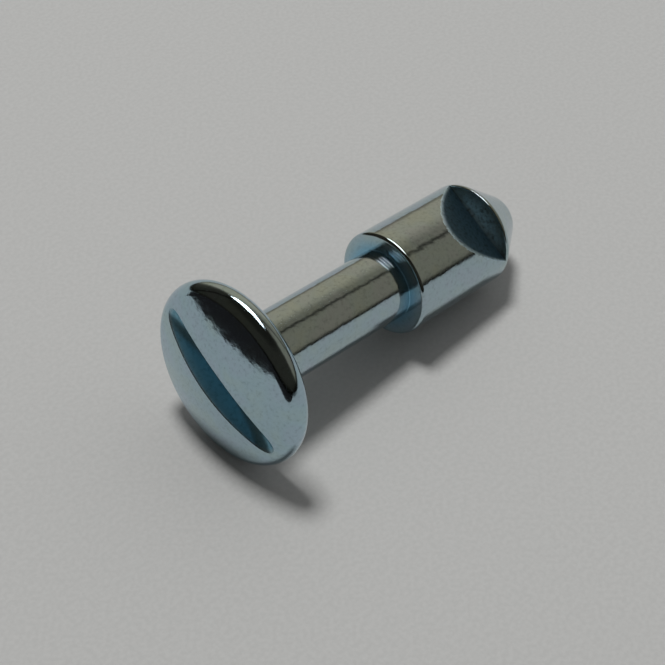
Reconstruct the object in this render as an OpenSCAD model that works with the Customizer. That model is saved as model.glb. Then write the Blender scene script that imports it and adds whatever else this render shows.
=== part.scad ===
// Stud of a push-in, quarter-turn-release panel fastener, lying on a table as it comes to rest.
// One piece of turned steel: slotted domed head, plain shank, thicker body with two locking notches, bullet nose.

/* [Head] */
// Diameter of the head
head_d = 16.2; // [14:0.1:20]
// Height of the head, from its flat underside to the top of the dome
head_h = 3.45; // [2.8:0.05:5]
// Radius of the full-round rim of the head
rim_r = 1.2; // [0.6:0.1:1.3]

/* [Driver slot] */
// Depth of the slot at its middle, below the top of the dome
slot_depth = 2.2; // [1:0.1:2.6]
// Radius of the slot's round bottom, across the slot
slot_bottom_r = 1.1; // [0.5:0.05:1.4]
// Lean of each slot wall, which makes the slot wider at its mouth
slot_wall_lean = 19.5; // [5:0.5:30]
// Radius of the slot's curved bottom, seen from the side
slot_sweep_r = 22.5; // [12:0.1:30]

/* [Shank] */
// Diameter of the plain shank
shank_d = 6.35; // [4:0.05:7.5]
// Length of the shank, from the head's underside to the shoulder
shank_len = 16.25; // [6:0.05:40]
// Radius of the fillets at both ends of the shank
fillet_r = 0.15; // [0.1:0.05:0.45]

/* [Body] */
// Diameter of the body
body_d = 9.5; // [9:0.1:12]
// Distance from the shoulder to the locking wall of the notches
wall_at = 10.9; // [8:0.1:20]
// Radius of the broken edge around the shoulder
shoulder_edge_r = 0.3; // [0.1:0.05:0.5]

/* [Locking notches] */
// Depth of each notch below the surface of the body
notch_depth = 2.55; // [1:0.05:3.5]
// Length of the notch's ramp along the body
ramp_len = 5.3; // [3:0.1:7]

/* [Nose] */
// Straight land beyond the locking wall
land_len = 0.1; // [0.1:0.05:1]
// Radius of the rounded edge where the land turns into the cone
land_edge_r = 0.6; // [0.2:0.05:0.8]
// Distance from the locking wall to the tip of the nose
nose_len = 5; // [4:0.1:8]
// Radius of the rounded tip
tip_r = 2.9; // [1.5:0.1:3.2]

/* [Rest] */
// Turn of the stud about its own axis as it lies, away from a notch that faces straight up
rest_turn = 28; // [0:0.5:90]

/* [Hidden] */

$fn = 96;
plated_steel = "#aab6b8";
// Overlap of pieces that are fused, and reach of cutters past what they cut
overlap = 0.1;
// Hair by which blended curves cross, so that they meet in one clean corner
blend = 0.002;

head_r = head_d / 2;
shank_r = shank_d / 2;
body_r = body_d / 2;

// Along the axis, the head's underside is at 0 and the nose points up
shoulder_z = shank_len;
wall_z = shoulder_z + wall_at;
land_end_z = wall_z + land_len;
tip_centre_z = wall_z + nose_len - tip_r;

// The dome runs into the round rim
rim_centre_r = head_r - rim_r;
dome_rise = head_h - rim_r;
dome_r = (dome_rise ^ 2 + rim_centre_r ^ 2 - rim_r ^ 2) / (2 * (dome_rise - rim_r));
dome_centre_z = dome_r - head_h;
dome_angle = asin(rim_centre_r / (dome_r - rim_r));

// The cone of the nose runs into the land's rounded edge and into the tip
land_centre_r = body_r - land_edge_r;
tip_offset = tip_centre_z - land_end_z;
cone_angle = acos((tip_r - land_edge_r) / norm([land_centre_r, tip_offset])) - atan2(tip_offset, land_centre_r);
cone_apex_z = tip_centre_z + (tip_r - blend) / sin(cone_angle);
cone_start_z = cone_apex_z - body_r / tan(cone_angle);
tip_start_z = tip_centre_z + tip_r * sin(cone_angle);

valley_r = body_r - notch_depth;

// The stud rests on its rim and on the land's rounded edge, so its axis falls towards the nose
rest_run = land_end_z + rim_r;
rest_drop = rim_centre_r - land_centre_r;
rest_tilt = atan2(rest_drop, rest_run) + asin((rim_r - land_edge_r) / norm([rest_run, rest_drop]));
rest_height = rim_centre_r * cos(rest_tilt) - rim_r * sin(rest_tilt) + rim_r;
dome_end_x = dome_centre_z * cos(rest_tilt) - dome_r;
rim_end_x = -rim_r * cos(rest_tilt) - rim_centre_r * sin(rest_tilt) - rim_r;
head_end_x = rest_tilt < dome_angle ? dome_end_x : rim_end_x;
nose_end_x = tip_centre_z * cos(rest_tilt) + tip_r;
rest_middle_x = (head_end_x + nose_end_x) / 2;

// What rounding a square corner takes away, or a fillet fills
module corner_waste(r) {
    difference() {
        square(r + overlap);
        circle(r);
    }
}

module head_profile() {
    // flat underside
    translate([0, -rim_r])
        square([rim_centre_r, rim_r]);
    // full-round rim
    translate([rim_centre_r, -rim_r])
        circle(rim_r);
    // dome
    intersection() {
        translate([0, dome_centre_z + blend])
            circle(dome_r);
        translate([0, -head_h])
            square([dome_r * sin(dome_angle), head_h - rim_r + overlap]);
    }
}

module shank_profile() {
    translate([0, -overlap])
        square([shank_r, shank_len + 2 * overlap]);
    translate([shank_r + fillet_r, fillet_r])
        rotate(180)
            corner_waste(fillet_r);
    translate([shank_r + fillet_r, shoulder_z - fillet_r])
        rotate(90)
            corner_waste(fillet_r);
}

// Body and nose: a pencil shape with its shoulder, land edge and tip rounded
module body_profile() {
    difference() {
        polygon([
            [0, shoulder_z],
            [body_r, shoulder_z],
            [body_r, cone_start_z],
            [0, cone_apex_z]
        ]);
        translate([body_r - shoulder_edge_r, shoulder_z + shoulder_edge_r])
            rotate(-90)
                corner_waste(shoulder_edge_r);
        translate([land_centre_r, land_end_z])
            land_edge_waste();
        difference() {
            translate([0, tip_start_z])
                square([body_r, cone_apex_z - tip_start_z + overlap]);
            translate([0, tip_centre_z])
                circle(tip_r);
        }
    }
}

// What rounding the land's edge takes away, from the centre of the rounding
module land_edge_waste() {
    reach = 2 * land_edge_r;
    difference() {
        polygon([
            [0, 0],
            [reach, 0],
            reach * [1, tan(cone_angle / 2)],
            reach * [cos(cone_angle), sin(cone_angle)]
        ]);
        circle(land_edge_r);
    }
}

module turned_blank() {
    rotate_extrude() {
        head_profile();
        shank_profile();
        body_profile();
    }
}

// Driver slot across the dome, with leaning walls and a round bottom that curves up to the dome at both ends
module driver_slot() {
    bottom_centre = slot_sweep_r - slot_bottom_r;
    wall_foot = bottom_centre + (slot_bottom_r - blend) * sin(slot_wall_lean);
    foot_half = (slot_bottom_r - blend) * cos(slot_wall_lean);
    mouth_reach = 2 * slot_depth;
    mouth_half = foot_half + mouth_reach * tan(slot_wall_lean);
    translate([0, 0, slot_depth - head_h - slot_sweep_r])
        rotate([0, 90, 0])
            rotate_extrude() {
                translate([bottom_centre, 0])
                    circle(slot_bottom_r);
                polygon([
                    [wall_foot - mouth_reach, -mouth_half],
                    [wall_foot, -foot_half],
                    [wall_foot, foot_half],
                    [wall_foot - mouth_reach, mouth_half]
                ]);
            }
}

// Wedge cut across the body: a square locking wall towards the nose and a ramp towards the head
module notch() {
    reach = 2 * notch_depth;
    rotate([90, 0, 0])
        linear_extrude(2 * body_d, center = true)
            polygon([
                [valley_r, wall_z],
                [valley_r + reach, wall_z],
                [valley_r + reach, wall_z - reach * ramp_len / notch_depth]
            ]);
}

module stud() {
    color(plated_steel)
        translate([-rest_middle_x, 0, rest_height])
            rotate([0, 90 + rest_tilt, 0])
                rotate([0, 0, rest_turn])
                    difference() {
                        turned_blank();
                        driver_slot();
                        notch();
                        mirror([1, 0, 0])
                            notch();
                    }
}

stud();
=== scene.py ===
import math

import bpy
from mathutils import Matrix, Vector


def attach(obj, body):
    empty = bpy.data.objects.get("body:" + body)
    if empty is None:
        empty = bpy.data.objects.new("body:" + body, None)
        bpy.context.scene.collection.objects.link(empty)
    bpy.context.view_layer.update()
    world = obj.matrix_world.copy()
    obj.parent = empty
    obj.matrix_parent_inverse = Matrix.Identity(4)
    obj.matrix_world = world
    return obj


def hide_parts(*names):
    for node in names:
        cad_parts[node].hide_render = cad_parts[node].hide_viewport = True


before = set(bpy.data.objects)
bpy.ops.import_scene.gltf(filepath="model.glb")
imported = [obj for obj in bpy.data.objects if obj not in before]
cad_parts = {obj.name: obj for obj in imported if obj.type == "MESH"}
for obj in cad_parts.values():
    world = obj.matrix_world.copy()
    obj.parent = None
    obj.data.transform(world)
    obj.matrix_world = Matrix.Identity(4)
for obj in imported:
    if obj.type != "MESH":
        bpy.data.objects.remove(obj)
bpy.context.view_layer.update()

# One millimetre and one micrometre, in metres
MM = 1e-3
UM = 1e-6

# Driving sizes in millimetres, in the stud's own frame: the head's underside is at 0 and the nose points
# up z. Names that end in _R are radii, and names that end in _Z are places along the axis.
HEAD_R = 8.1
HEAD_H = 3.45
RIM_R = 1.2
SLOT_DEPTH = 2.2
SLOT_BOTTOM_R = 1.1
SLOT_WALL_LEAN = math.radians(19.5)
SLOT_SWEEP_R = 22.5
SHANK_R = 3.175
SHANK_LEN = 16.25
FILLET_R = 0.15
BODY_R = 4.75
WALL_AT = 10.9
SHOULDER_EDGE_R = 0.3
NOTCH_DEPTH = 2.55
RAMP_LEN = 5.3
LAND_LEN = 0.1
LAND_EDGE_R = 0.6
NOSE_LEN = 5.0
TIP_R = 2.9
REST_TURN = math.radians(28)

# Finish of the edges, which the cutters leave slightly broken
SLOT_EDGE_BREAK = 0.06
NOTCH_EDGE_BREAK = 0.14
WALL_EDGE_BREAK = 0.12
# An edge break takes at most this share of the face beside it, so that it fades out in the corners
BREAK_SHARE = 0.35
# How much the breaks of the milled edges vary in width, by waves that each have a count and a phase
RAGGED_SHARE = 0.8
RAGGED_WAVES = ((37, 1), (83, 2), (131, 0))
# Fillet at the shoulder, which looks nearly sharp
SHOULDER_FILLET_R = 0.05
# Fine grooves that the turning tool leaves before the shoulder, in part of the shank's turn
GROOVE_R = 0.1
GROOVE_PITCH = 0.3
GROOVE_COUNT = 3
GROOVES_END = 0.4
GROOVE_TURN = math.radians(160)
GROOVE_HALF_ARC = math.radians(30)

# How finely the surfaces are divided: columns around the axis, and steps along or across each patch
COLUMNS = 288
DOME_STEPS = 20
SLOT_STEPS = 28
RIM_STEPS = 26
FACE_STEPS = 4
FILLET_STEPS = 8
GROOVE_STEPS = 12
EDGE_STEPS = 8
BODY_STEPS = 14
RAMP_STEPS = 10
WALL_STEPS = 6
LAND_STEPS = 2
BREAK_STEPS = 4
CONE_STEPS = 4
TIP_STEPS = 18
# Halvings in the search for the slot's mouth
HALVINGS = 50
# Lengths and angles that differ by less than this count as equal
HAIR = 1e-6

# Sizes that follow from the driving ones
SHOULDER_Z = SHANK_LEN
SHOULDER_FOOT_R = SHANK_R + SHOULDER_FILLET_R
SHANK_END_Z = SHOULDER_Z - SHOULDER_FILLET_R
SHOULDER_RIM_R = BODY_R - SHOULDER_EDGE_R
BODY_START_Z = SHOULDER_Z + SHOULDER_EDGE_R
WALL_Z = SHOULDER_Z + WALL_AT
LAND_END_Z = WALL_Z + LAND_LEN
TIP_CENTRE_Z = WALL_Z + NOSE_LEN - TIP_R
RIM_CENTRE_R = HEAD_R - RIM_R
DOME_RISE = HEAD_H - RIM_R
DOME_R = (DOME_RISE**2 + RIM_CENTRE_R**2 - RIM_R**2) / (2 * (DOME_RISE - RIM_R))
DOME_CENTRE_Z = DOME_R - HEAD_H
DOME_ANGLE = math.asin(RIM_CENTRE_R / (DOME_R - RIM_R))
DOME_EDGE_R = DOME_R * math.sin(DOME_ANGLE)
LAND_CENTRE_R = BODY_R - LAND_EDGE_R
TIP_OFFSET = TIP_CENTRE_Z - LAND_END_Z
TIP_DISTANCE = math.hypot(LAND_CENTRE_R, TIP_OFFSET)
CONE_ANGLE = math.acos((TIP_R - LAND_EDGE_R) / TIP_DISTANCE) - math.atan2(TIP_OFFSET, LAND_CENTRE_R)
VALLEY_R = BODY_R - NOTCH_DEPTH
NOTCH_HALF_ANGLE = math.acos(VALLEY_R / BODY_R)
SLOT_CENTRE_Z = SLOT_DEPTH - HEAD_H - SLOT_SWEEP_R
SLOT_BOTTOM_CENTRE = SLOT_SWEEP_R - SLOT_BOTTOM_R
SLOT_FOOT = SLOT_BOTTOM_CENTRE + SLOT_BOTTOM_R * math.sin(SLOT_WALL_LEAN)
SLOT_FOOT_HALF = SLOT_BOTTOM_R * math.cos(SLOT_WALL_LEAN)

# How the stud rests, on its rim and on the rounded edge of its land
REST_RUN = LAND_END_Z + RIM_R
REST_DROP = RIM_CENTRE_R - LAND_CENTRE_R
REST_LEAN = math.asin((RIM_R - LAND_EDGE_R) / math.hypot(REST_RUN, REST_DROP))
REST_TILT = math.atan2(REST_DROP, REST_RUN) + REST_LEAN
REST_HEIGHT = RIM_CENTRE_R * math.cos(REST_TILT) - RIM_R * math.sin(REST_TILT) + RIM_R
HEAD_END_X = DOME_CENTRE_Z * math.cos(REST_TILT) - DOME_R
NOSE_END_X = TIP_CENTRE_Z * math.cos(REST_TILT) + TIP_R
REST_MIDDLE_X = (HEAD_END_X + NOSE_END_X) / 2

# Camera, by the spot on the floor that it looks at
CAMERA_AIM = Vector((-1.012, 3.074, 0.0)) * MM
CAMERA_DISTANCE = 141.435 * MM
CAMERA_AZIMUTH = math.radians(-45.014)
CAMERA_ELEVATION = math.radians(46.012)
# Focal length and sensor width in millimetres, and the nearest distance that is seen in metres
CAMERA_LENS = 86.554
CAMERA_SENSOR = 36.0
CAMERA_NEAR = 0.005

# Finishes of the one plated surface, in the order of the material slots
TURNED, DOMED, FACED, MILLED, WALLED, SLOTTED = range(6)
# Finishes of a notch's strips: its broken rim, its ramp, its wall and the wall's broken edge
NOTCH_FINISHES = (MILLED, MILLED, WALLED, TURNED)


class Skin:
    """A closed mesh made patch by patch.

    Patches share their border points, and each corner keeps its exact normal.
    """

    # Points that agree to about a ten-thousandth of a millimetre are one point
    WELD = 1e4

    def __init__(self):
        self.points = []
        self.index = {}
        self.faces = []
        self.normals = []
        self.finishes = []

    def point(self, p):
        """Number of a point, which is added if it is new."""
        key = tuple(round(c * self.WELD) for c in p)
        if key not in self.index:
            self.index[key] = len(self.points)
            self.points.append(Vector(p))
        return self.index[key]

    def face(self, corners, finish):
        """Adds one face from (point, normal) corners, facing the way that its normals do."""
        ids, normals = [], []
        for p, n in corners:
            i = self.point(p)
            if i not in ids:
                ids.append(i)
                normals.append(n)
        if len(ids) < 3:
            return
        a, b, c = (self.points[i] for i in (ids[0], ids[1], ids[-1]))
        if (b - a).cross(c - a).dot(sum(normals, Vector())) < 0:
            ids.reverse()
            normals.reverse()
        self.faces.append(ids)
        self.normals.extend(normals)
        self.finishes.append(finish)

    def grid(self, rows, finish, closed=False):
        """Skins a grid of (point, normal) corners."""
        for lower, upper in zip(rows, rows[1:]):
            count = len(lower)
            for j in range(count if closed else count - 1):
                k = (j + 1) % count
                self.face([lower[j], lower[k], upper[k], upper[j]], finish)

    def mesh(self, name, place):
        """The mesh in metres, laid where place puts it."""
        mesh = bpy.data.meshes.new(name)
        mesh.from_pydata([place @ (p * MM) for p in self.points], [], self.faces)
        for polygon, finish in zip(mesh.polygons, self.finishes):
            polygon.use_smooth = True
            polygon.material_index = finish
        turn = place.to_3x3()
        mesh.normals_split_custom_set([turn @ n for n in self.normals])
        return mesh


def steps(start, end, count):
    """Evenly spaced values with both ends."""
    return [start + (end - start) * i / count for i in range(count + 1)]


def around(theta, r, z):
    """Point or direction at that angle about the axis."""
    return Vector((r * math.cos(theta), r * math.sin(theta), z))


def turned(profile, thetas):
    """Rows of a surface of revolution, from (radius, z, normal's radius, normal's z)."""
    return [[(around(t, r, z), around(t, nr, nz)) for t in thetas] for r, z, nr, nz in profile]


def arc(centre_r, centre_z, radius, start, end, count, hollow=False):
    """Profile of a rounding. Angles are in degrees from straight out; a hollow one faces its centre."""
    side = -1 if hollow else 1
    profile = []
    for degrees in steps(start, end, count):
        c, s = math.cos(math.radians(degrees)), math.sin(math.radians(degrees))
        profile.append((centre_r + radius * c, centre_z + radius * s, side * c, side * s))
    return profile


def line(start, end, normal, count=1):
    """Profile of a straight stretch between two (radius, z) places, with one normal."""
    radii = steps(start[0], end[0], count)
    heights = steps(start[1], end[1], count)
    return [(r, z, *normal) for r, z in zip(radii, heights)]


def rounded(before, corner, after):
    """Strip of corners across a broken edge.

    It runs from before to after, which are (point, normal) on the two faces beside the sharp corner.
    """
    (p0, n0), (p2, n2) = before, after
    strip = []
    for t in steps(0, 1, BREAK_STEPS):
        p = p0 * (1 - t) ** 2 + corner * (2 * t * (1 - t)) + p2 * t**2
        strip.append((p, (n0 * (1 - t) + n2 * t).normalized()))
    return strip


def columns_to_rows(columns):
    """A grid that was gathered column by column, row by row."""
    return [list(row) for row in zip(*columns)]


def ragged(theta):
    """Width of a ragged edge at that angle, against its mean width."""
    waves = [math.sin(count * theta + phase) for count, phase in RAGGED_WAVES]
    return 1 + RAGGED_SHARE * sum(waves) / len(waves)


def column_angles():
    """Angles of the columns, with extra ones at the corners of the notches."""
    full_turn = 2 * math.pi
    least_gap = math.pi / COLUMNS / 2
    corners = [side * NOTCH_HALF_ANGLE + middle for middle in (0, math.pi) for side in (1, -1)]
    angles = list(corners)
    for i in range(COLUMNS):
        even = full_turn * i / COLUMNS
        if all(abs(math.remainder(even - corner, full_turn)) > least_gap for corner in corners):
            angles.append(even)
    return sorted(angle % full_turn for angle in angles)


# Dome and slot


def dome_point(theta, r):
    """Corner on the dome at that angle and radius."""
    centre = Vector((0, 0, DOME_CENTRE_Z))
    p = around(theta, r, DOME_CENTRE_Z - math.sqrt(DOME_R**2 - r**2))
    return p, (p - centre) / DOME_R


def slot_section(x):
    """How far the slot's cutter reaches from its axis, that far across the slot, and its slope there."""
    across = abs(x)
    if across < SLOT_FOOT_HALF:
        reach = SLOT_BOTTOM_CENTRE + math.sqrt(SLOT_BOTTOM_R**2 - across**2)
        return reach, math.asin(across / SLOT_BOTTOM_R)
    reach = SLOT_FOOT - (across - SLOT_FOOT_HALF) / math.tan(SLOT_WALL_LEAN)
    return reach, math.pi / 2 - SLOT_WALL_LEAN


def inside_slot(theta, r):
    """Whether the dome is cut away by the slot at that angle and radius."""
    p, _ = dome_point(theta, r)
    return math.hypot(p.y, p.z - SLOT_CENTRE_Z) < slot_section(p.x)[0]


def slot_mouth(theta):
    """Radius at which the slot's mouth crosses that direction on the dome."""
    low, high = 0.0, DOME_EDGE_R
    for _ in range(HALVINGS):
        middle = (low + high) / 2
        if inside_slot(theta, middle):
            low = middle
        else:
            high = middle
    return low


def slot_point(sweep, x):
    """Corner on the slot's surface, that far around the cutter and across the slot."""
    reach, slope = slot_section(x)
    out = Vector((0, math.sin(sweep), math.cos(sweep)))
    side = Vector((math.copysign(math.sin(slope), x), 0, 0))
    return Vector((x, 0, SLOT_CENTRE_Z)) + out * reach, -side - out * math.cos(slope)


def add_head(skin, thetas):
    """Dome with its slot. Each row of the slot starts from a column on one side of its mouth."""
    dome_columns, break_columns, slot_rows = [], [], []
    for theta in thetas:
        mouth_r = slot_mouth(theta)
        mouth, _ = dome_point(theta, mouth_r)
        sweep = math.atan2(mouth.y, mouth.z - SLOT_CENTRE_Z)
        edge = min(SLOT_EDGE_BREAK, BREAK_SHARE * abs(mouth.x), BREAK_SHARE * (DOME_EDGE_R - mouth_r))
        inner_x = mouth.x - math.copysign(edge * math.cos(slot_section(mouth.x)[1]), mouth.x)
        outer_r = mouth_r + edge * ragged(theta)
        break_columns.append(rounded(dome_point(theta, outer_r), mouth, slot_point(sweep, inner_x)))
        dome_columns.append([dome_point(theta, r) for r in steps(outer_r, DOME_EDGE_R, DOME_STEPS)])
        if mouth.x > -HAIR:
            across = [inner_x * math.cos(math.pi * j / SLOT_STEPS) for j in range(SLOT_STEPS + 1)]
            slot_rows.append((sweep, [slot_point(sweep, x) for x in across]))
    skin.grid(columns_to_rows(dome_columns), DOMED, closed=True)
    skin.grid(columns_to_rows(break_columns), DOMED, closed=True)
    slot_rows.sort(key=lambda row: row[0])
    skin.grid([row for _, row in slot_rows], SLOTTED)


# Turned surfaces


def add_rim(skin, thetas):
    """Full-round rim and flat underside of the head."""
    rim = arc(RIM_CENTRE_R, -RIM_R, RIM_R, math.degrees(DOME_ANGLE) - 90, 90, RIM_STEPS)
    underside = line((RIM_CENTRE_R, 0), (SHANK_R + FILLET_R, 0), (0, 1), FACE_STEPS)
    skin.grid(turned(rim, thetas), DOMED, closed=True)
    skin.grid(turned(underside, thetas), FACED, closed=True)


def groove_fade(theta):
    """Size of the grooves at that angle, from 1 in the middle of their arc to 0 at its ends and beyond."""
    away = abs(math.remainder(theta - GROOVE_TURN, 2 * math.pi))
    return math.cos(math.pi / 2 * min(away / GROOVE_HALF_ARC, 1)) ** 2


def shank_profiles(groove_r):
    """Profiles along the shank, by turns plain and grooved, with grooves of that radius."""
    first_z = SHOULDER_Z - GROOVES_END - (GROOVE_COUNT - 1) * GROOVE_PITCH
    plain_z = FILLET_R
    profiles = []
    for i in range(GROOVE_COUNT):
        centre_z = first_z + i * GROOVE_PITCH
        profiles.append(line((SHANK_R, plain_z), (SHANK_R, centre_z - groove_r), (1, 0)))
        profiles.append(arc(SHANK_R, centre_z, groove_r, 270, 90, GROOVE_STEPS, hollow=True))
        plain_z = centre_z + groove_r
    profiles.append(line((SHANK_R, plain_z), (SHANK_R, SHANK_END_Z), (1, 0)))
    return profiles


def add_shank(skin, thetas):
    """Shank with the turning grooves near its shoulder, and its fillet at the head."""
    fillet = arc(SHANK_R + FILLET_R, FILLET_R, FILLET_R, 270, 180, FILLET_STEPS, hollow=True)
    skin.grid(turned(fillet, thetas), TURNED, closed=True)
    columns = []
    for theta in thetas:
        profiles = shank_profiles(GROOVE_R * groove_fade(theta))
        columns.append([[row[0] for row in turned(profile, [theta])] for profile in profiles])
    for patch in zip(*columns):
        skin.grid(columns_to_rows(patch), TURNED, closed=True)


def add_shoulder(skin, thetas):
    """Shoulder face, with the fillet at its foot and its rounded edge."""
    fillet = arc(SHOULDER_FOOT_R, SHANK_END_Z, SHOULDER_FILLET_R, 180, 90, FILLET_STEPS, hollow=True)
    face = line((SHOULDER_FOOT_R, SHOULDER_Z), (SHOULDER_RIM_R, SHOULDER_Z), (0, -1), FACE_STEPS)
    edge = arc(SHOULDER_RIM_R, BODY_START_Z, SHOULDER_EDGE_R, -90, 0, EDGE_STEPS)
    skin.grid(turned(fillet, thetas), FACED, closed=True)
    skin.grid(turned(face, thetas), FACED, closed=True)
    skin.grid(turned(edge, thetas), TURNED, closed=True)


def add_nose(skin, thetas):
    """Rounded edge of the land, cone and round tip."""
    edge = arc(LAND_CENTRE_R, LAND_END_Z, LAND_EDGE_R, 0, math.degrees(CONE_ANGLE), EDGE_STEPS)
    tip = arc(0, TIP_CENTRE_Z, TIP_R, math.degrees(CONE_ANGLE), 90, TIP_STEPS)
    cone = line(edge[-1][:2], tip[0][:2], edge[-1][2:], CONE_STEPS)
    for profile in (edge, cone, tip):
        skin.grid(turned(profile, thetas), TURNED, closed=True)


# Body with its two notches


def notch_turn(theta):
    """Angle from the middle of the nearer notch, and the direction of that middle."""
    away = math.remainder(theta, math.pi)
    middle = round((theta - away) / math.pi) * math.pi
    return away, middle


def notch_cut(theta, away):
    """How far a notch's rim falls back from its wall there, and the breaks of its rim and its wall."""
    depth = max(BODY_R * math.cos(away) - VALLEY_R, 0)
    drop = depth * RAMP_LEN / NOTCH_DEPTH
    rim_break = min(NOTCH_EDGE_BREAK * ragged(theta), BREAK_SHARE * drop)
    wall_break = min(WALL_EDGE_BREAK, BREAK_SHARE * depth)
    return drop, rim_break, wall_break


def body_column(theta, start_z, end_z, count):
    """Column of corners straight along the body."""
    radial = around(theta, 1, 0)
    return [(around(theta, BODY_R, z), radial) for z in steps(start_z, end_z, count)]


def notch_strips(theta, body_end, land_start):
    """Strips of corners across a notch at that angle, from the body's last corner to the land's first."""
    away, middle = notch_turn(theta)
    drop, rim_break, wall_break = notch_cut(theta, away)
    turn = Matrix.Rotation(middle, 3, "Z")
    ramp_normal = turn @ Vector((RAMP_LEN, 0, NOTCH_DEPTH)).normalized()
    wall_normal = Vector((0, 0, -1))
    valley = turn @ Vector((VALLEY_R, BODY_R * math.sin(away), WALL_Z))
    rim = around(theta, BODY_R, WALL_Z - drop)
    length = (valley - rim).length
    way = (valley - rim).normalized() if length > HAIR else Vector()
    ramp_start = rim + way * min(rim_break, BREAK_SHARE * length)
    wall_top = around(theta, BODY_R - wall_break, WALL_Z)
    wall_edge = around(theta, BODY_R, WALL_Z)
    return (
        rounded(body_end, rim, (ramp_start, ramp_normal)),
        [(ramp_start.lerp(valley, t), ramp_normal) for t in steps(0, 1, RAMP_STEPS)],
        [(valley.lerp(wall_top, t), wall_normal) for t in steps(0, 1, WALL_STEPS)],
        rounded((wall_top, wall_normal), wall_edge, land_start),
    )


def add_body(skin, thetas):
    """Body, the notches' ramps and walls, and the land beyond them."""
    body_columns, land_columns = [], []
    notches = {}
    for theta in thetas:
        away, middle = notch_turn(theta)
        cut = abs(away) < NOTCH_HALF_ANGLE + HAIR
        drop, rim_break, wall_break = notch_cut(theta, away) if cut else (0.0, 0.0, 0.0)
        body_columns.append(body_column(theta, BODY_START_Z, WALL_Z - drop - rim_break, BODY_STEPS))
        land_columns.append(body_column(theta, WALL_Z + wall_break, LAND_END_Z, LAND_STEPS))
        if cut:
            strips = notch_strips(theta, body_columns[-1][-1], land_columns[-1][0])
            notches.setdefault(middle, []).append((away, strips))
    skin.grid(columns_to_rows(body_columns), TURNED, closed=True)
    skin.grid(columns_to_rows(land_columns), TURNED, closed=True)
    for columns in notches.values():
        columns.sort(key=lambda column: column[0])
        patches = zip(*(strips for _, strips in columns))
        for patch, finish in zip(patches, NOTCH_FINISHES):
            skin.grid(patch, finish)


def stud_placement():
    """Where the stud lies: turned about its axis, laid down and resting on its rim and its land."""
    place = Matrix.Translation(Vector((-REST_MIDDLE_X, 0, REST_HEIGHT)) * MM)
    lay = Matrix.Rotation(math.radians(90) + REST_TILT, 4, "Y")
    return place @ lay @ Matrix.Rotation(REST_TURN, 4, "Z")


def add_stud():
    """The whole stud, as one closed mesh with six finishes."""
    skin = Skin()
    thetas = column_angles()
    # The same columns, with the angles around each notch in one run
    notch_thetas = [t if t < 1.5 * math.pi else t - 2 * math.pi for t in thetas]
    add_head(skin, thetas)
    add_rim(skin, thetas)
    add_shank(skin, thetas)
    add_shoulder(skin, thetas)
    add_body(skin, notch_thetas)
    add_nose(skin, thetas)
    stud = bpy.data.objects.new("stud_plated", skin.mesh("stud_plated", stud_placement()))
    bpy.context.collection.objects.link(stud)
    for plate in (turned_plate, domed_plate, faced_plate, milled_plate, walled_plate, slotted_plate):
        stud.data.materials.append(plate())
    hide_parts("stud")
    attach(stud, "root")


# Materials

ZINC = (0.395, 0.54, 0.605)
LAVENDER = (0.41, 0.52, 0.615)
STRAW = (0.42, 0.55, 0.56)
# The blue is fainter on the straight-turned surfaces; the darker, bluer tints deeper inside the recesses are
# painted shade
GREYED = (0.40, 0.515, 0.56)
SLOT_PAINTED_SHADE = (0.235, 0.485, 0.61)
FACE_PAINTED_SHADE = (0.24, 0.47, 0.62)
NOTCH_PAINTED_SHADE = (0.05, 0.1, 0.13)
# The notch's wall has painted shade at its edge and painted light towards the valley
WALL_EDGE_PAINTED_SHADE = (0.18, 0.22, 0.21)
WALL_VALLEY_PAINTED_LIGHT = (0.68, 0.86, 0.88)
# Depths in millimetres between which each hollow takes its painted shading
SLOT_SHADE_DEPTHS = (0.0, 0.25)
FACE_SHADE_DEPTHS = (0.5, 1.4)
NOTCH_SHADE_DEPTHS = (0.0, 0.25)
WALL_SHADING_DEPTHS = (0.4, 2.2)
# Sizes in millimetres of the clouds of tint, the grain and the orange peel
CLOUD_SIZE = 2.2
GRAIN_SIZE = 0.3
PEEL_SIZE = 1.0
# Where most of a noise's values lie
NOISE_RANGE = (0.35, 0.65)
# The clouds' range, where 0 is straw, 0.5 plain and 1 lavender
CLOUD_RANGE = (0.2, 0.8)
# Grain at which the flecks are darkest, plain and lightest, and how much darker and lighter they get
FLECK_DARKEST = 0.3
FLECK_PLAIN = 0.45
FLECK_LIGHTEST = 0.7
FLECK_DARKER = 0.15
FLECK_LIGHTER = 0.05


def new_material(name):
    """A material with its nodes, its links and its shader."""
    material = bpy.data.materials.new(name)
    material.use_nodes = True
    nodes = material.node_tree.nodes
    return material, nodes, material.node_tree.links, nodes["Principled BSDF"]


def stud_coordinates(nodes, links):
    """Places in the stud's own frame, with its axis along z."""
    lying = stud_placement()
    mapping = nodes.new("ShaderNodeMapping")
    mapping.vector_type = "TEXTURE"
    mapping.inputs["Location"].default_value = lying.to_translation()
    mapping.inputs["Rotation"].default_value = lying.to_euler()
    links.new(nodes.new("ShaderNodeTexCoord").outputs["Object"], mapping.inputs["Vector"])
    return mapping.outputs["Vector"]


def noise(nodes, links, coordinates, size, detail=2.0):
    """Noise with features of about that size in millimetres."""
    node = nodes.new("ShaderNodeTexNoise")
    node.inputs["Scale"].default_value = 1 / (size * MM)
    node.inputs["Detail"].default_value = detail
    links.new(coordinates, node.inputs["Vector"])
    return node.outputs["Fac"]


def bump(nodes, links, height, depth, normal=None):
    """Bump of that depth in micrometres."""
    node = nodes.new("ShaderNodeBump")
    node.inputs["Strength"].default_value = 1.0
    node.inputs["Distance"].default_value = depth * UM
    links.new(height, node.inputs["Height"])
    if normal:
        links.new(normal, node.inputs["Normal"])
    return node.outputs["Normal"]


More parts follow.
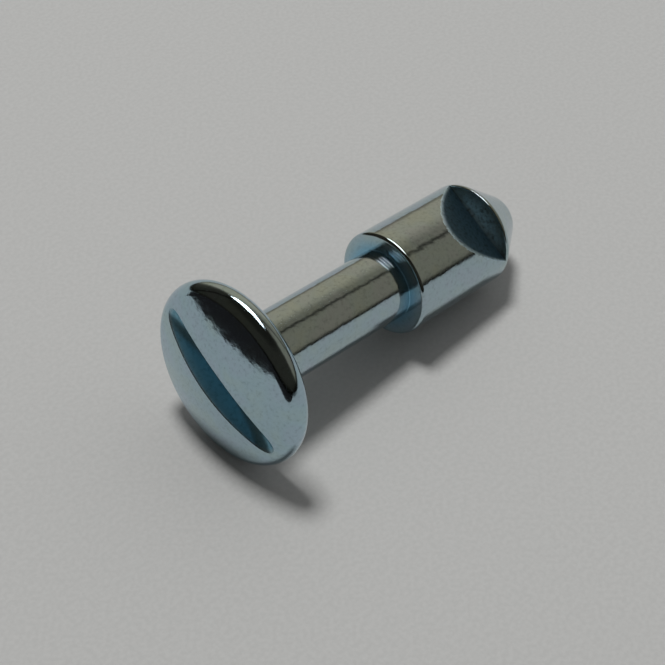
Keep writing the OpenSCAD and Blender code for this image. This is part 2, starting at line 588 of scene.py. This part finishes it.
def ramp(nodes, links, value, stops):
    """Colour that follows a value through (position, colour or grey level) stops."""
    node = nodes.new("ShaderNodeValToRGB")
    elements = node.color_ramp.elements
    while len(elements) < len(stops):
        elements.new(0.5)
    for element, (position, colour) in zip(elements, stops):
        element.position = position
        element.color = (*colour, 1.0) if isinstance(colour, tuple) else (colour, colour, colour, 1.0)
    links.new(value, node.inputs["Fac"])
    return node.outputs["Color"]


def mixed(nodes, links, factor, first, second, blend="MIX"):
    """Two colours, each a socket or a plain colour, mixed by a factor."""
    node = nodes.new("ShaderNodeMix")
    node.data_type = "RGBA"
    node.blend_type = blend
    for socket, value in (("Factor", factor), ("A", first), ("B", second)):
        if isinstance(value, bpy.types.NodeSocket):
            links.new(value, node.inputs[socket])
        elif socket == "Factor":
            node.inputs[socket].default_value = value
        else:
            node.inputs[socket].default_value = (*value, 1.0)
    return node.outputs["Result"]


def multiplied(nodes, links, first, second):
    """Two colours, multiplied."""
    return mixed(nodes, links, 1.0, first, second, "MULTIPLY")


def mapped(nodes, links, value, source, target):
    """Maps one range of values onto another, and no further."""
    node = nodes.new("ShaderNodeMapRange")
    links.new(value, node.inputs["Value"])
    node.inputs["From Min"].default_value = source[0]
    node.inputs["From Max"].default_value = source[1]
    node.inputs["To Min"].default_value = target[0]
    node.inputs["To Max"].default_value = target[1]
    return node.outputs["Result"]


def vector_math(nodes, links, operation, vector, other=(0, 0, 0)):
    """Outputs of a vector operation on a vector from a socket and a plain one."""
    node = nodes.new("ShaderNodeVectorMath")
    node.operation = operation
    links.new(vector, node.inputs[0])
    node.inputs[1].default_value = other
    return node.outputs


def recessed(nodes, links, distance, surface, depths):
    """How deep a place lies inside a surface, by its distance from that surface's centre, from 0 to 1."""
    shallow, deep = depths
    return mapped(nodes, links, distance, ((surface - shallow) * MM, (surface - deep) * MM), (0, 1))


def below_dome(nodes, links, place, depths):
    """How deep a place lies below the dome."""
    distance = vector_math(nodes, links, "DISTANCE", place, (0, 0, DOME_CENTRE_Z * MM))["Value"]
    return recessed(nodes, links, distance, DOME_R, depths)


def below_body(nodes, links, place, depths):
    """How deep a place lies below the body's surface, towards the axis."""
    flat = vector_math(nodes, links, "MULTIPLY", place, (1, 1, 0))["Vector"]
    distance = vector_math(nodes, links, "LENGTH", flat)["Value"]
    return recessed(nodes, links, distance, BODY_R, depths)


def shifted(tint, towards):
    """A tint that drifts as the plain plate does towards that colour."""
    return tuple(t * c / z for t, c, z in zip(tint, towards, ZINC))


def clouded(nodes, links, place, tint):
    """A tint that drifts between straw and lavender."""
    clouds = noise(nodes, links, place, CLOUD_SIZE, detail=1.0)
    cloud = mapped(nodes, links, clouds, NOISE_RANGE, CLOUD_RANGE)
    stops = [(0.0, shifted(tint, STRAW)), (0.5, tint), (1.0, shifted(tint, LAVENDER))]
    return ramp(nodes, links, cloud, stops)


def flecks(nodes, links, grain, flecked):
    """Shades of the flecks, that many times as strong as on the plain plate."""
    stops = [
        (FLECK_DARKEST, 1 - FLECK_DARKER * flecked),
        (FLECK_PLAIN, 1.0),
        (FLECK_LIGHTEST, 1 + FLECK_LIGHTER * flecked),
    ]
    return ramp(nodes, links, grain, stops)


def zinc(name, peel, grit, gloss, tint=ZINC, painted_depth_shading=None, flecked=1.0, metal=1.0):
    """Bright zinc plate: a blue film that drifts in tint, with flecks, orange peel and grit.

    The peel and the grit are depths in micrometres, and gloss is the range of roughness. The depth shading
    holds the function that tells how deep a place lies, its depths and the painted shade that it takes
    there, which on the notch's wall is painted light instead.
    """
    material, nodes, links, shader = new_material(name)
    place = stud_coordinates(nodes, links)
    grain = noise(nodes, links, place, GRAIN_SIZE, detail=3.0)
    colour = clouded(nodes, links, place, tint)
    # Deeper in, the colour turns to painted shade; on the notch's wall it turns to painted light
    if painted_depth_shading:
        below, depths, painted_deep_colour = painted_depth_shading
        colour = mixed(nodes, links, below(nodes, links, place, depths), colour, painted_deep_colour)
    colour = multiplied(nodes, links, colour, flecks(nodes, links, grain, flecked))
    links.new(colour, shader.inputs["Base Color"])
    shader.inputs["Metallic"].default_value = metal
    # The dark flecks are the roughest
    links.new(mapped(nodes, links, grain, NOISE_RANGE, gloss[::-1]), shader.inputs["Roughness"])
    broad = bump(nodes, links, noise(nodes, links, place, PEEL_SIZE, detail=1.0), peel)
    links.new(bump(nodes, links, grain, grit, broad), shader.inputs["Normal"])
    return material


def turned_plate():
    """Smooth, slightly greyed plate on the straight-turned surfaces."""
    return zinc("zinc_turned", peel=16, grit=3, gloss=(0.06, 0.14), tint=GREYED)


def domed_plate():
    """Smooth blue plate on the dome and the rim."""
    return zinc("zinc_domed", peel=14, grit=4, gloss=(0.06, 0.12))


def faced_plate():
    """Plate on the shoulder and the head's underside, with painted shade that makes it darker and bluer
    towards the shank.
    """
    painted_shading = (below_body, FACE_SHADE_DEPTHS, FACE_PAINTED_SHADE)
    return zinc("zinc_faced_painted_shade", peel=5, grit=1, gloss=(0.1, 0.2), painted_depth_shading=painted_shading, metal=0.9)


def milled_plate():
    """Rough plate on the notches' ramps, darkened by painted shade."""
    painted_shading = (below_body, NOTCH_SHADE_DEPTHS, NOTCH_PAINTED_SHADE)
    return zinc("zinc_milled_painted_shade", peel=6, grit=12, gloss=(0.28, 0.42), painted_depth_shading=painted_shading, flecked=4.0, metal=0.8)


def walled_plate():
    """Flecked plate on the notches' walls, with painted shade at the edge and painted light towards the
    valley.
    """
    painted_shading = (below_body, WALL_SHADING_DEPTHS, WALL_VALLEY_PAINTED_LIGHT)
    return zinc(
        "zinc_walled_painted_light_and_shade",
        peel=4,
        grit=6,
        gloss=(0.06, 0.14),
        tint=WALL_EDGE_PAINTED_SHADE,
        painted_depth_shading=painted_shading,
        flecked=5.0,
        metal=0.8,
    )


def slotted_plate():
    """Rough plate inside the slot, made darker and bluer with depth by painted shade."""
    painted_shading = (below_dome, SLOT_SHADE_DEPTHS, SLOT_PAINTED_SHADE)
    return zinc("zinc_slotted_painted_shade", peel=5, grit=2, gloss=(0.36, 0.5), painted_depth_shading=painted_shading, metal=0.86)


# Stage

FLOOR = (0.443, 0.443, 0.433)
FLOOR_ROUGHNESS = 0.7
# Half the width of the floor in millimetres
FLOOR_REACH = 1500
# Faint grain of the floor: its size in millimetres, and how far it darkens and lightens
FLOOR_GRAIN = 0.4
FLOOR_SHADES = (0.97, 1.03)

MAT = (0.017, 0.0145, 0.0145, 1.0)
MAT_ROUGHNESS = 1.0
# Corners and height of the mat in millimetres
MAT_CORNERS = [
    (-56, -40),
    (-55, 24),
    (-44, 46),
    (-600, 1300),
    (-1500, 1300),
    (-1500, -1500),
    (-600, -1500),
]
MAT_HEIGHT = 0.2

# Azimuth and elevation of the lamp, its distance and size in metres, and its power in watts
LAMP_WAY = (75, 76.5)
LAMP_DISTANCE = 1.0
LAMP_SIZE = 0.26
LAMP_POWER = 7.3

# Direction that the room's light comes from, as azimuth and elevation
LIT_WAY = (5, 0)
# Grey light on dull surfaces, by how far a direction points that way
AMBIENT_STOPS = [(0.0, 0.12), (0.5, 0.55)]

# Room that the metal mirrors. Its wall has a dark seam, and is brightest in the direction ROOM_WAY.
ROOM_DIM = (0.25, 0.21, 0.155)
ROOM_LIT = (0.49, 0.405, 0.30)
ROOM_SEAM = (0.04, 0.034, 0.026)
ROOM_WAY = (45, 0)
ROOM_STOPS = [
    (0.33, ROOM_DIM),
    (0.38, ROOM_SEAM),
    (0.405, ROOM_SEAM),
    (0.46, ROOM_DIM),
    (0.55, ROOM_DIM),
    (0.8, ROOM_LIT),
]
# The side away from the light is dark
LIT_STOPS = [(0.2, 0.13), (0.3, 0.22), (0.36, 0.5), (0.44, 1.0)]
# The foot of the wall is dark, but less so on the far side, and the ceiling is dimmer than the wall
FOOT_STOPS = [(0.0, 0.06), (0.05, 0.08), (0.16, 0.9), (0.3, 1.0)]
FAR_STOPS = [(0.1, 0.0), (0.5, 0.4)]
CEILING_STOPS = [(0.7, 1.0), (0.88, 0.5)]
# The long ceiling lamp as the metal mirrors it: its colour, and its bounds across and along
GLARE = (8.0, 7.6, 7.6)
GLARE_WIDTH_STOPS = [(0.19, 0.0), (0.22, 1.0), (0.46, 1.0), (0.49, 0.0)]
GLARE_WAY = (90, 77.5)
GLARE_LENGTH_STOPS = [(0.87, 0.0), (0.89, 1.0)]


def add_sheet(name, corners, height, roughness):
    """A flat sheet of the stage without gloss, with its corners and its height in millimetres."""
    mesh = bpy.data.meshes.new(name)
    mesh.from_pydata([Vector((x, y, height)) * MM for x, y in corners], [], [range(len(corners))])
    sheet = bpy.data.objects.new(name, mesh)
    bpy.context.collection.objects.link(sheet)
    material, nodes, links, shader = new_material(name)
    mesh.materials.append(material)
    shader.inputs["Roughness"].default_value = roughness
    shader.inputs["Specular IOR Level"].default_value = 0.0
    return sheet, nodes, links, shader


def add_floor():
    """Plain pale floor with a faint grain."""
    signs = [(-1, -1), (1, -1), (1, 1), (-1, 1)]
    corners = [(FLOOR_REACH * x, FLOOR_REACH * y) for x, y in signs]
    _, nodes, links, shader = add_sheet("floor", corners, 0, FLOOR_ROUGHNESS)
    place = nodes.new("ShaderNodeTexCoord").outputs["Object"]
    grain = mapped(nodes, links, noise(nodes, links, place, FLOOR_GRAIN), NOISE_RANGE, FLOOR_SHADES)
    links.new(multiplied(nodes, links, FLOOR, grain), shader.inputs["Base Color"])


def add_dark_mat():
    """A dark mat to the left of the view, which only the metal mirrors."""
    mat, _, _, shader = add_sheet("dark_mat", MAT_CORNERS, MAT_HEIGHT, MAT_ROUGHNESS)
    shader.inputs["Base Color"].default_value = MAT
    mat.visible_camera = False
    mat.visible_diffuse = False
    mat.visible_shadow = False


def direction(azimuth, elevation):
    """Direction at that azimuth and elevation in degrees."""
    a, e = math.radians(azimuth), math.radians(elevation)
    return Vector((math.cos(a) * math.cos(e), math.sin(a) * math.cos(e), math.sin(e)))


def add_lamp():
    """One soft lamp, nearly overhead. The metal mirrors the room's long lamp instead of it."""
    data = bpy.data.lights.new("lamp", "AREA")
    data.shape = "DISK"
    data.size = LAMP_SIZE
    data.energy = LAMP_POWER
    lamp = bpy.data.objects.new("lamp", data)
    bpy.context.collection.objects.link(lamp)
    way = direction(*LAMP_WAY)
    lamp.location = way * LAMP_DISTANCE
    lamp.rotation_mode = "QUATERNION"
    lamp.rotation_quaternion = way.to_track_quat("Z", "Y")
    lamp.visible_glossy = False


def facing(nodes, links, way, azimuth, elevation):
    """How far a direction points that way, from -1 to 1."""
    return vector_math(nodes, links, "DOT_PRODUCT", way, direction(azimuth, elevation))["Value"]


def mirrored_room(nodes, links, way):
    """What the metal mirrors above the floor: a wall lit beyond the nose, a dark side and a long lamp."""
    split = nodes.new("ShaderNodeSeparateXYZ")
    links.new(way, split.inputs["Vector"])
    foot = ramp(nodes, links, split.outputs["Z"], FOOT_STOPS)
    far_side = ramp(nodes, links, split.outputs["Y"], FAR_STOPS)
    foot = mixed(nodes, links, far_side, foot, (1.0, 1.0, 1.0))
    lit_side = ramp(nodes, links, facing(nodes, links, way, *LIT_WAY), LIT_STOPS)
    ceiling = ramp(nodes, links, split.outputs["Z"], CEILING_STOPS)
    room = ramp(nodes, links, facing(nodes, links, way, *ROOM_WAY), ROOM_STOPS)
    for shade in (foot, lit_side, ceiling):
        room = multiplied(nodes, links, room, shade)
    width = ramp(nodes, links, split.outputs["X"], GLARE_WIDTH_STOPS)
    length = ramp(nodes, links, facing(nodes, links, way, *GLARE_WAY), GLARE_LENGTH_STOPS)
    return mixed(nodes, links, multiplied(nodes, links, width, length), room, GLARE)


def add_world():
    """Plain grey light that is stronger from beyond the nose, and the room that the metal mirrors."""
    world = bpy.data.worlds.new("room")
    bpy.context.scene.world = world
    world.use_nodes = True
    nodes, links = world.node_tree.nodes, world.node_tree.links
    way = nodes.new("ShaderNodeTexCoord").outputs["Generated"]
    ambient = ramp(nodes, links, facing(nodes, links, way, *LIT_WAY), AMBIENT_STOPS)
    path = nodes.new("ShaderNodeLightPath")
    seen = mixed(nodes, links, path.outputs["Is Glossy Ray"], ambient, mirrored_room(nodes, links, way))
    links.new(seen, nodes["Background"].inputs["Color"])


def add_camera():
    """Camera at the photograph's viewing angle."""
    data = bpy.data.cameras.new("camera")
    data.lens = CAMERA_LENS
    data.sensor_width = CAMERA_SENSOR
    data.clip_start = CAMERA_NEAR
    camera = bpy.data.objects.new("camera", data)
    bpy.context.collection.objects.link(camera)
    a, e = CAMERA_AZIMUTH, CAMERA_ELEVATION
    back = Vector((math.sin(a) * math.cos(e), -math.cos(a) * math.cos(e), math.sin(e)))
    camera.location = CAMERA_AIM + back * CAMERA_DISTANCE
    camera.rotation_mode = "QUATERNION"
    camera.rotation_quaternion = (-back).to_track_quat("-Z", "Y")
    bpy.context.scene.camera = camera


add_stud()
add_floor()
add_dark_mat()
add_lamp()
add_world()
add_camera()
bpy.context.scene.view_settings.view_transform = "Standard"
